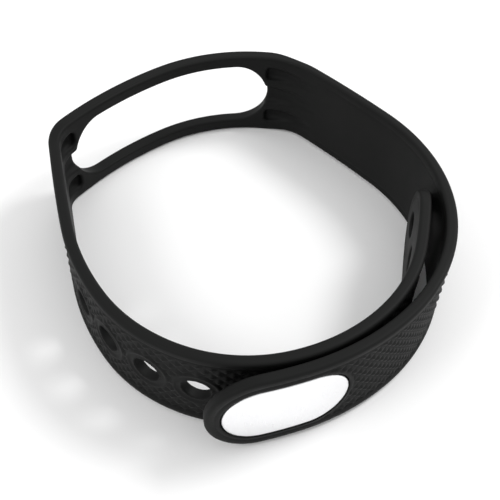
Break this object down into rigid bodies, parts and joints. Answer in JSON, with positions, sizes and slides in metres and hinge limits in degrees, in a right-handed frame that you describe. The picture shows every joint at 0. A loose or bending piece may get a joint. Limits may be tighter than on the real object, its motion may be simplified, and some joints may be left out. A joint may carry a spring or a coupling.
{
  "type": "fitness tracker band",
  "caption": "Soft wrist strap with a pill-shaped frame for a tracker capsule, closed by a metal clasp whose posts press into size holes.",
  "frame": {"origin": "middle of the band's plan, on the surface that the band stands on", "axes": "+Z across the strap, from the long edge that it stands on to the other; +Y towards the tracker frame"},
  "size_m": [0.0576, 0.0638, 0.0158],
  "materials": {
    "strap": "matte, with a fine diamond relief on the outer faces",
    "clasp_metal": "satin"
  },
  "bodies": {
    "cradle": {"tracker_cradle": "strap"},
    "clasp_arm_a": {"clasp_arm_1": "strap"},
    "clasp_arm_b": {"clasp_arm_2": "strap"},
    "clasp_arm_c": {"clasp_arm_3": "strap"},
    "clasp_arm_d": {"clasp_arm_4": "strap"},
    "clasp": {"clasp_end": "strap", "clasp_plate": "clasp_metal", "clasp_post_1": "clasp_metal", "clasp_post_2": "clasp_metal"},
    "hole_arm_a": {"hole_arm_1": "strap"},
    "hole_arm_b": {"hole_arm_2": "strap"},
    "hole_arm_c": {"hole_arm_3": "strap"},
    "hole_arm_d": {"hole_arm_4": "strap"},
    "hole_arm_e": {"hole_arm_5": "strap"},
    "tail": {"tail_tip": "strap"}
  },
  "joints": [
    {"name": "clasp_arm_flex_1", "type": "hinge", "parent": "cradle", "child": "clasp_arm_a", "pos_m": [0.02546, 0.01693, 0.0079], "axis": [0, 0, 1], "range_deg": [0, 4], "stiffness_Nm_per_rad": 0.0008},
    {"name": "clasp_arm_flex_2", "type": "hinge", "parent": "clasp_arm_a", "child": "clasp_arm_b", "pos_m": [0.02783, 0.00111, 0.0079], "axis": [0, 0, 1], "range_deg": [0, 10], "stiffness_Nm_per_rad": 0.0008},
    {"name": "clasp_arm_flex_3", "type": "hinge", "parent": "clasp_arm_b", "child": "clasp_arm_c", "pos_m": [0.02522, -0.01448, 0.0079], "axis": [0, 0, 1], "range_deg": [0, 19], "stiffness_Nm_per_rad": 0.0008},
    {"name": "clasp_arm_flex_4", "type": "hinge", "parent": "clasp_arm_c", "child": "clasp_arm_d", "pos_m": [0.01476, -0.0263, 0.0079], "axis": [0, 0, 1], "range_deg": [0, 38], "stiffness_Nm_per_rad": 0.0008},
    {"name": "clasp_pull_off", "type": "hinge", "parent": "clasp_arm_d", "child": "clasp", "pos_m": [0.00164, -0.03082, 0.0079], "axis": [0, 0, 1], "range_deg": [0, 60], "stiffness_Nm_per_rad": 0.0008},
    {"name": "hole_arm_flex_1", "type": "hinge", "parent": "cradle", "child": "hole_arm_a", "pos_m": [-0.01982, 0.02415, 0.0079], "axis": [0, 0, 1], "range_deg": [0, 10], "stiffness_Nm_per_rad": 0.0008},
    {"name": "hole_arm_flex_2", "type": "hinge", "parent": "hole_arm_a", "child": "hole_arm_b", "pos_m": [-0.0258, 0.00825, 0.0079], "axis": [0, 0, 1], "range_deg": [0, 7], "stiffness_Nm_per_rad": 0.0008},
    {"name": "hole_arm_flex_3", "type": "hinge", "parent": "hole_arm_b", "child": "hole_arm_c", "pos_m": [-0.02727, -0.01095, 0.0079], "axis": [0, 0, 1], "range_deg": [0, 7], "stiffness_Nm_per_rad": 0.0008},
    {"name": "hole_arm_flex_4", "type": "hinge", "parent": "hole_arm_c", "child": "hole_arm_d", "pos_m": [-0.01993, -0.02308, 0.0079], "axis": [0, 0, 1], "range_deg": [0, 7], "stiffness_Nm_per_rad": 0.0008},
    {"name": "hole_arm_flex_5", "type": "hinge", "parent": "hole_arm_d", "child": "hole_arm_e", "pos_m": [-0.00687, -0.02862, 0.0079], "axis": [0, 0, 1], "range_deg": [0, 7], "stiffness_Nm_per_rad": 0.0008},
    {"name": "tail_flex", "type": "hinge", "parent": "hole_arm_e", "child": "tail", "pos_m": [0.00722, -0.0266, 0.0079], "axis": [0, 0, 1], "range_deg": [0, 40], "stiffness_Nm_per_rad": 0.0008}
  ],
  "couplings": [
    {"joint": "clasp_arm_flex_1", "follows": "clasp_pull_off", "ratio": 0.05},
    {"joint": "clasp_arm_flex_2", "follows": "clasp_pull_off", "ratio": 0.15},
    {"joint": "clasp_arm_flex_3", "follows": "clasp_pull_off", "ratio": 0.3},
    {"joint": "clasp_arm_flex_4", "follows": "clasp_pull_off", "ratio": 0.6},
    {"joint": "hole_arm_flex_1", "follows": "clasp_pull_off", "ratio": 0.15},
    {"joint": "hole_arm_flex_2", "follows": "clasp_pull_off", "ratio": 0.1},
    {"joint": "hole_arm_flex_3", "follows": "clasp_pull_off", "ratio": 0.1},
    {"joint": "hole_arm_flex_4", "follows": "clasp_pull_off", "ratio": 0.1},
    {"joint": "hole_arm_flex_5", "follows": "clasp_pull_off", "ratio": 0.1}
  ]
}
